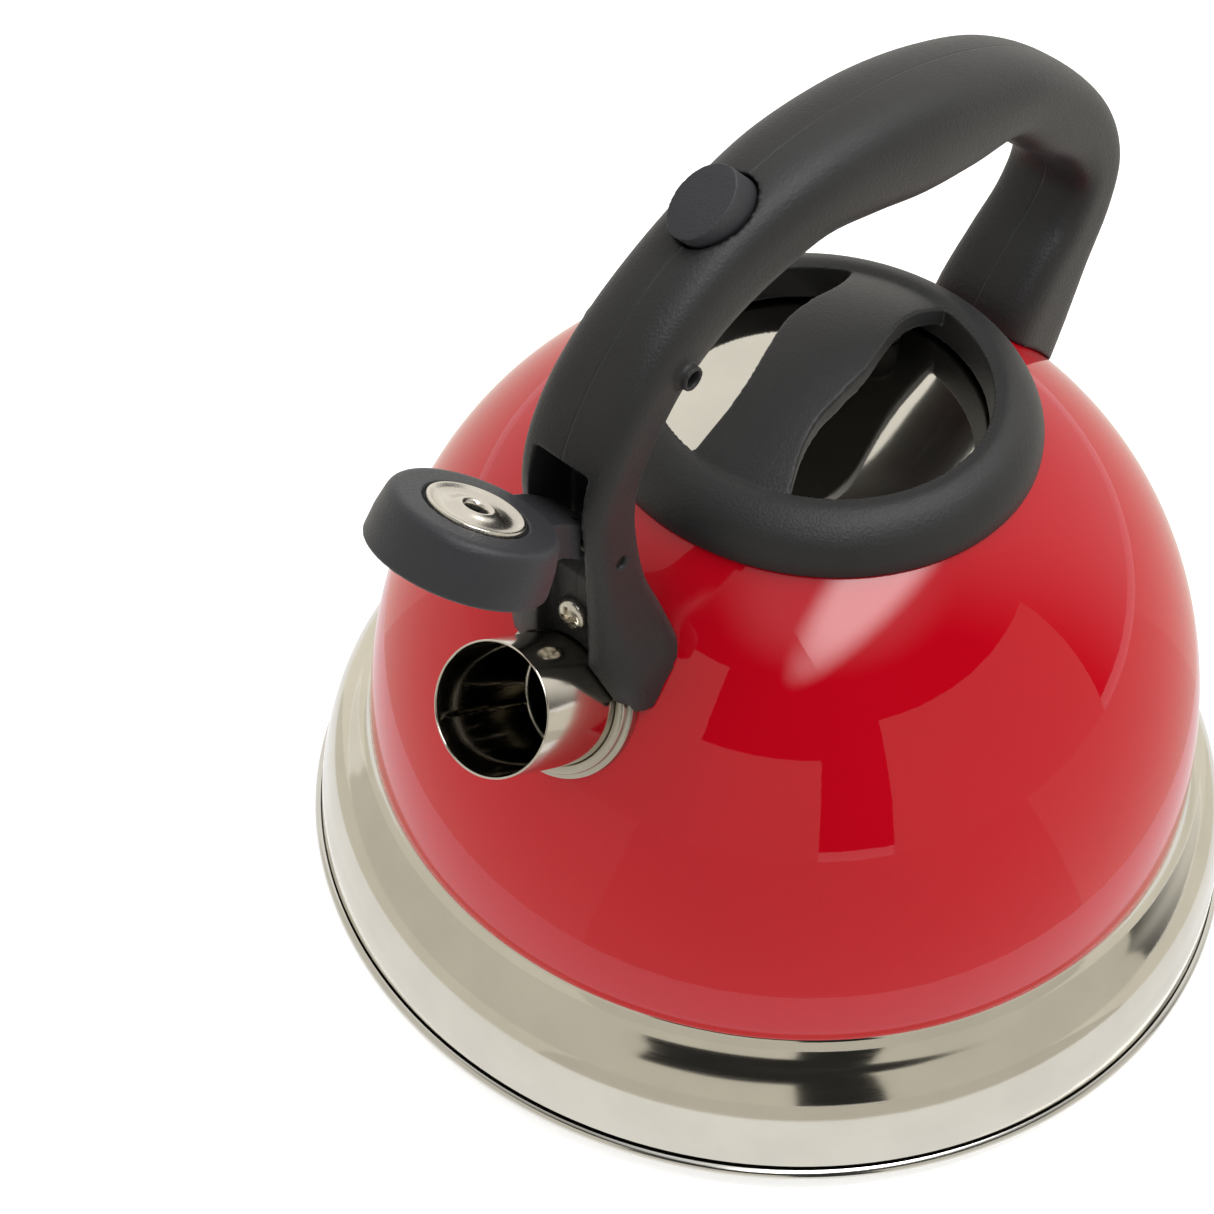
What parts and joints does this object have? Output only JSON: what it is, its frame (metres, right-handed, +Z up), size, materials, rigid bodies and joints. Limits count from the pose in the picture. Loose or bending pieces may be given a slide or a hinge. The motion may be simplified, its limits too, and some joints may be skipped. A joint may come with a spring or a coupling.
{
  "type": "stovetop whistling kettle",
  "caption": "Domed red enamelled stovetop kettle with steel base band, black bridge handle, lift-off lid and a thumb-worked whistle cap that flips up from a short spout.",
  "frame": {"origin": "centre of the base underside, on the resting plane", "axes": "+Z up, +X towards the spout, the handle stands in the plane Y = 0"},
  "size_m": [0.2372, 0.22, 0.217],
  "materials": {
    "red_enamel": "gloss",
    "polished_steel": "polished stainless steel",
    "brushed_steel": "brushed",
    "aluminium": "mill",
    "black_nylon": "fine matt texture",
    "nickel": "bright nickel plate"
  },
  "bodies": {
    "kettle": {"body_shell": "red_enamel", "bottom_pan": "polished_steel", "base_capsule": "brushed_steel", "heat_spreader": "aluminium", "spout_tube": "polished_steel", "spout_ferrule": "brushed_steel", "handle": "black_nylon", "front_bracket": "brushed_steel", "front_screw": "nickel", "rear_bracket": "brushed_steel", "rear_screw": "nickel", "cap_hinge_pin": "brushed_steel", "rocker_pin": "brushed_steel"},
    "cap": {"whistle_cap": "black_nylon", "whistle_outer_disc": "nickel", "whistle_inner_disc": "nickel"},
    "rocker": {"rocker_lever": "black_nylon"},
    "link": {"link_rod": "brushed_steel"},
    "button": {"thumb_button": "black_nylon"},
    "lid": {"lid_cover": "black_nylon", "lid_plate": "polished_steel", "lid_skirt": "polished_steel", "lid_screw_1": "nickel", "lid_screw_2": "nickel"}
  },
  "joints": [
    {"name": "cap_hinge", "type": "hinge", "parent": "kettle", "child": "cap", "pos_m": [0.0758, 0, 0.1457], "axis": [0, 1, 0], "range_deg": [0, 87.5]},
    {"name": "rocker_hinge", "type": "hinge", "parent": "kettle", "child": "rocker", "pos_m": [0.061, 0, 0.1855], "axis": [0, 1, 0], "range_deg": [0, 19.4]},
    {"name": "link_pivot", "type": "hinge", "parent": "rocker", "child": "link", "pos_m": [0.0764, 0.00385, 0.1756], "axis": [0, 1, 0], "range_deg": [-28, 0]},
    {"name": "button_travel", "type": "slide", "parent": "kettle", "child": "button", "axis": [0.6947, 0, 0.7193], "range_m": [0, 0.0081]},
    {"name": "lid_lift", "type": "slide", "parent": "kettle", "child": "lid", "axis": [0, 0, 1], "range_m": [0, 0.026]}
  ],
  "couplings": [
    {"joint": "rocker_hinge", "follows": "cap_hinge", "ratio": 0.2208},
    {"joint": "link_pivot", "follows": "cap_hinge", "ratio": -0.3177},
    {"joint": "button_travel", "follows": "cap_hinge", "m_per_rad": 0.00525}
  ]
}
